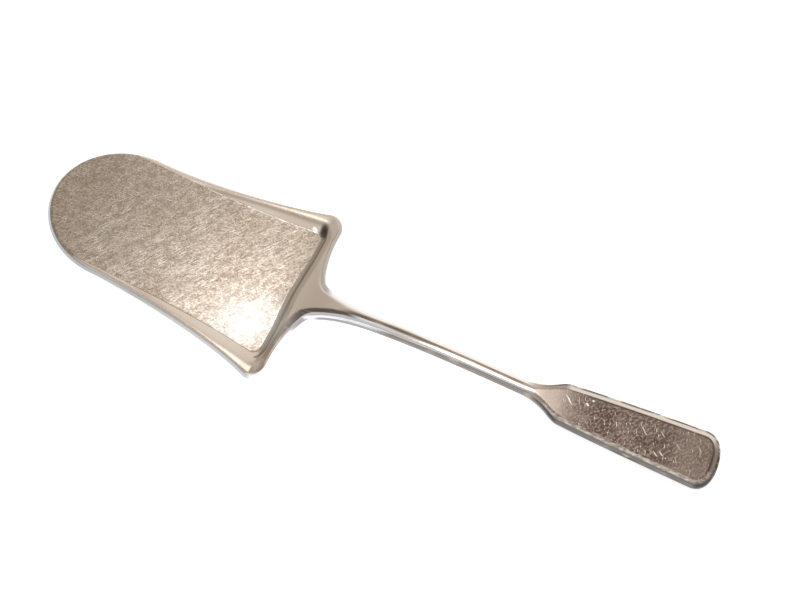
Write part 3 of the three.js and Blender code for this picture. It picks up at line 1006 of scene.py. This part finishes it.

# Silver worn and dulled by use: warm grey, satin from fine scratches, browner where it is
# tarnished. Real scratches are about 0.05 mm wide, which is too fine to show, so they are drawn
# 0.4 mm wide, and the satin's grain 0.8 to 1 mm. Later layers paint light and shade as well: pale
# and dark bands of reflection on the panel's creases, back wall, neck, bar, bevels and flanks.
WEAR_AND_PAINTED_LIGHT = (
    Layer((60, 34), (0.38, 0.66), 0.25, "B49F86", (), 7, 20, 0.03),
    Layer((50, 30), (0, 0.35), 0.5, "BDAF9C", ON_PANEL, 9, 0, -0.12),
    Layer((9, 6), (0.38, 0.7), 0.4, "A3937F", ON_PANEL, 5, 40, 0.02),
    Layer((3.1, 2.2), (0.4, 0.62), 0.5, "95836F", ON_PANEL, 3, 59, 0.05, 0.003),
    Layer((0.9, 0.75), (0.4, 0.62), 0.55, "85735F", ON_PANEL, 4, 30, 0.03, 0.003, detail=4),
    Layer((13, 2.6), (0.46, 0.7), 0.25, "F1E6D5", ON_MID_PANEL, 11, 59, clumps=22),
    Layer((4, 0.4), (0.56, 0.66), 0.5, "F8F0E4", ON_MID_PANEL, 19, 59, 0, -0.004, 1, 16),
    Layer((5, 0.42), (0.6, 0.68), 0.6, "806F5D", ON_PANEL, 31, 55, 0.05, -0.004, 1, 20),
    Layer((7, 0.4), (0.66, 0.72), 0.5, "EFE5D6", ON_PANEL, 43, 15, 0, -0.004, detail=1),
    Layer((0.8, 0.6), (0.62, 0.72), 0.6, "7F6F5E", ON_PANEL, 53, 0, 0.05, detail=1),
    Layer((0.9, 0.7), (0.6, 0.7), 0.3, "FBF4E8", ON_MID_PANEL, 57, 30, 0, 0.002, detail=1),
    Layer((40, 40), (0, 0.01), 1, None, ON_BRIGHT, 2, 0, -0.14),
    Layer((40, 40), (0, 0.01), 1, None, ON_BORDER, 2, 0, -0.03),
    # Painted highlight along the panel's far crease
    Layer((6, 0.8), (0.25, 0.65), 0.35, "FFFFFF", FAR_CREASE_LINE, 92),
    # Painted shade, partly dirt, in the panel's near crease
    Layer((9, 1), (0.2, 0.5), 0.5, "7E6F5C", NEAR_CREASE_LINE, 94),
    # Painted dark reflection on the neck's near half
    Layer((9, 1.2), (0.1, 0.5), 0.85, "463D34", NECK_NEAR_HALF, 96, 0, 0.03),
    # Painted dark reflection along the back wall
    Layer((9, 2), (0.1, 0.4), 0.85, "8F8069", WALL_LINE, 95, 90, 0.05),
    Layer((14, 0.45), (0.52, 0.64), 0.6, "7D6E5C", NEAR_SHOULDER, 97, 90, 0.03),
    # Painted highlight on the neck's far edge
    Layer((20, 3), (0, 0.3), 1, "FFF8F0", NECK_FAR_EDGE, 98),
    # Painted white reflection on the neck's near edge
    Layer((20, 3), (0, 0.3), 1, "FFFFFF", NECK_NEAR_EDGE, 99),
    # Painted shade at the neck's near outline
    Layer((20, 3), (0, 0.3), 0.8, "8A8680", NECK_OUTER_EDGE, 101),
    # Painted dark reflection on the bar's crown
    Layer((9, 1), (0.1, 0.5), 0.85, "6F5F4E", BAR_CROWN, 93, 0, 0.04),
    # Painted highlight on the bar's near rounding
    Layer((14, 2), (0, 0.4), 0.95, "FFFFFF", BAR_SHINE, 88),
    Layer((30, 14), (0.12, 0.4), 0.8, "9A8B7F", DULL_SPADE, 63, 15, 0.12),
    Layer((22, 14), (0.12, 0.4), 0.92, "594A42", ON_SPADE, 61, 15, 0.02),
    Layer((11, 7), (0.4, 0.6), 0.8, "46342D", STAINED, 76, 20, 0.02),
    Layer((1, 0.8), (0.42, 0.66), 0.5, "A89684", ON_SPADE, 66, 60, 0, 0.006),
    Layer((0.9, 0.7), (0.48, 0.7), 0.5, "3E302A", ON_SPADE, 69, 60, 0, 0.004),
    Layer((20, 12), (0.1, 0.4), 0.2, "B5A392", SPADE_TAIL, 64, 15),
    Layer((3.2, 0.4), (0.66, 0.72), 0.7, "E9DCCB", ON_SPADE, 71, 105, detail=1),
    Layer((6, 1.2), (0.2, 0.5), 0.75, "5B4C41", FAR_CREASE, 79, 0, 0.1),
    # Painted reflection on the spade's far bevel
    Layer((16, 3), (0, 0.4), 0.8, "F0E6D6", FAR_BEVEL, 102),
    # Painted speckled highlight on the spade's near bevel
    Layer((2.2, 0.9), (0.38, 0.6), 0.7, "EEE2D2", NEAR_BEVEL, 103, 8),
    # Painted shade and tarnish on the spade's flanks
    Layer((5, 1.6), (0.25, 0.55), 0.92, "3D352F", SPADE_FLANK, 83, 0, 0.08),
    # Painted shade, partly tarnish, on the bar's near flank
    Layer((9, 1.6), (0.1, 0.5), 0.9, "7F7B77", BAR_FLANK, 87, 0, 0.05),
    # Painted reflection on the blade's flank
    Layer((12, 2), (0, 0.3), 0.8, "BEC4C8", BLADE_FLANK, 91, 0, 0.08),
    # Painted reflection on the rear edge's far flank
    Layer((12, 2), (0, 0.3), 0.8, "9F9A92", REAR_FAR_FLANK, 90, 0, 0.08),
    # Painted reflection on the rear edge's near flank
    Layer((12, 2), (0, 0.3), 0.9, "FFFAFC", REAR_NEAR_FLANK, 89, 0, 0.08),
)

# A painted highlight, a pale patch round the highlight in the panel's near back corner, a painted
# dark reflection and a painted glint in its far one, and scratches on the spade, drawn 0.6 mm wide
# to show
MARKS = (
    # Painted highlight in the panel's near back corner
    Mark((88, -16), (46, 30), 20, "F8F4EE", 0.42, 1),
    # Painted dark reflection in the panel's far back corner
    Mark((96.2, 27.8), (8.4, 4.4), -66, "3F3832", 0.85),
    # Painted glint in the panel's far back corner
    Mark((92.6, 27.2), (3.1, 2), -30, "FFFFFF", 1, 0.4),
    Mark((203.7, 1.6), (5.6, 0.7), -42, "E8DCCB", 0.7),
    Mark((231, 1.3), (4.8, 0.6), -47, "D9CBBA", 0.6),
    Mark((236.8, -5), (3, 0.6), -38, "E8DCCB", 0.7),
    Mark((238.6, -4.2), (3, 0.6), -36, "E8DCCB", 0.7),
    Mark((250.3, 2.5), (3.6, 0.6), -54, "D9CBBA", 0.6),
    Mark((210.1, 2.5), (1.8, 1), -25, "F4EADC", 0.8),
    Mark((211.6, 4.5), (1, 0.9), -50, "F4EADC", 0.8),
    Mark((237.1, 2.7), (3.4, 0.6), -42, "D9CBBA", 0.6),
    Mark((243.2, 0.6), (4, 0.6), -41, "D0C2B2", 0.5),
)


@dataclass
class Studio:
    """The white table, the soft light round it and the camera, in metres."""

    table_size: float = 6.0
    target: Triple = (0.0042755, 0.0145992, 0.0)
    camera: Triple = (0.070873, -0.13464, 0.32872)
    lens: float = 45.0  # millimetres, as is the sensor's width
    sensor: float = 36.0
    clip: Pair = (0.01, 20.0)
    table_glow: float = 0.66  # just clips the table to white
    table_grey: float = 0.8
    room: tuple[str, float] = ("FFFAF6", 0.56)  # the light between the cards

    def build(self) -> None:
        """Makes the table, the light and the camera."""
        self.build_table()
        self.build_light()
        self.build_camera()

    def build_table(self) -> None:
        """Lays a white table that just clips to white and keeps the shadows."""
        half = self.table_size / 2
        mesh = bpy.data.meshes.new("table")
        corners = [(-half, -half, 0), (half, -half, 0), (half, half, 0), (-half, half, 0)]
        mesh.from_pydata(corners, [], [(0, 1, 2, 3)])
        table = bpy.data.objects.new("table", mesh)
        bpy.context.scene.collection.objects.link(table)
        material = bpy.data.materials.new("matt_white_card")
        tree = emptied(material)
        seen = add_node(tree, "LightPath", output="Is Camera Ray")
        path = seen.node
        for ray in ("Is Glossy Ray", "Is Transmission Ray"):
            seen = add_node(tree, "Math", LARGER, {0: seen, 1: path.outputs[ray]})
        strength = add_node(tree, "Math", TIMES, {0: seen, 1: self.table_glow})
        glow = add_node(tree, "Emission", inputs={"Color": WHITE, "Strength": strength})
        grey = (*[self.table_grey] * 3, 1)
        card = add_node(tree, "BsdfDiffuse", inputs={"Color": grey})
        both = add_node(tree, "AddShader", inputs={0: card, 1: glow})
        add_node(tree, "OutputMaterial", inputs={"Surface": both})
        mesh.materials.append(material)

    def build_light(self) -> None:
        """Lights the scene with soft cards all round, and shows white beyond the table."""
        world = bpy.data.worlds.new("studio")
        bpy.context.scene.world = world
        tree = emptied(world)
        direction = add_node(tree, "TexCoord", output="Generated")
        colour: object = linear(*self.room)
        for card in CARDS:
            toward = Vector(card.toward).normalized()
            near = add_node(tree, "VectorMath", DOT, {0: direction, 1: toward}, "Value")
            outer, inner = (math.cos(math.radians(a)) for a in (card.outer, card.inner))
            mask = add_node(tree, "MapRange", SMOOTH, {0: near, 1: outer, 2: inner})
            colour = add_node(
                tree, "Mix", RGBA, {0: mask, 6: colour, 7: linear(card.colour, card.level)}, 2)
        seen = add_node(tree, "LightPath", output="Is Camera Ray")
        colour = add_node(tree, "Mix", RGBA, {0: seen, 6: colour, 7: WHITE}, 2)
        sky = add_node(tree, "Background", inputs={"Color": colour})
        add_node(tree, "OutputWorld", inputs={"Surface": sky})

    def build_camera(self) -> None:
        """Stands the camera where the photograph was taken from."""
        data = bpy.data.cameras.new("camera")
        data.lens = self.lens
        data.sensor_width = self.sensor
        data.clip_start, data.clip_end = self.clip
        camera = bpy.data.objects.new("camera", data)
        camera.location = self.camera
        look = Vector(self.target) - Vector(self.camera)
        camera.rotation_mode = "QUATERNION"
        camera.rotation_quaternion = look.to_track_quat("-Z", "Y")
        bpy.context.scene.collection.objects.link(camera)
        bpy.context.scene.camera = camera


@dataclass(frozen=True)
class Card:
    """A soft-edged round patch of the studio's light."""

    toward: Triple
    inner: float  # angle from its middle within which it is full
    outer: float
    colour: str
    level: float  # 1 shows white as white


CARDS = (
    Card((0, 1, 0.15), 38, 60, "F4F2F4", 1.08),
    Card((-0.1, -1, 0.1), 78, 92, "E6E6EA", 0.55),
    Card((0, -0.5, 0.86), 12, 28, "F2F2F4", 1.15),
    Card((0.08, -0.9, 0.38), 10, 24, "F2F6FF", 1.5),
    Card((-0.85, 0.25, 0.42), 12, 30, "D9D9D9", 0.75),
    Card((-0.36, 0.36, 0.86), 3, 10.5, "F2F0F4", 0.85),
    Card((0.03, 0.3, 0.953), 3.5, 7, "F6F8FF", 4.9),
)


def add_piece(name: str, shell: Shell, cuts: Cuts) -> bpy.types.Object:
    """Makes one piece of the body that rides on the root and stands for its solid.

    Args:
        name: The name of the solid.
        shell: The surface of the whole body.
        cuts: The planes that cut the piece out of it.

    Returns:
        The piece.
    """
    piece = bpy.data.objects.new(f"{name}_dressed", shell.mesh(name, cuts))
    bpy.context.scene.collection.objects.link(piece)
    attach(piece, "root")
    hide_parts(name)
    return piece


def main() -> None:
    """Builds the pieces in order and reports each."""
    logging.basicConfig(level=logging.INFO, format="%(name)s: %(message)s")
    bpy.context.scene.view_settings.view_transform = "Standard"
    blade = Blade(LENGTHS)
    stance = Stance(LENGTHS, blade.rim_rise, blade.back_bow + blade.underside_foot)
    body = Body(blade, Handle(LENGTHS), Stock(LENGTHS), stance)
    shell = body.shell()
    joint = Joint()
    half = joint.solder / 2
    finish = Finish("worn_silver_plate_and_painted_light", "DDCEBC", 0.28, WEAR_AND_PAINTED_LIGHT, MARKS)
    to_spade, to_tip = joint.cut(body, 1, -half), joint.cut(body, -1, half)
    middle = (joint.cut(body, 1, half), joint.cut(body, -1, -half))
    for name, cuts, slot in (
        ("blade", (to_spade,), "blade_metal"),
        ("neck_solder", middle, "solder"),
        ("handle", (to_tip,), "handle_metal"),
    ):
        piece = add_piece(name, shell, cuts)
        piece.data.materials.append(finish.material())
        LOG.info("%s: %d faces", name, len(piece.data.polygons))
    Studio().build()


if __name__ == "__main__":
    main()
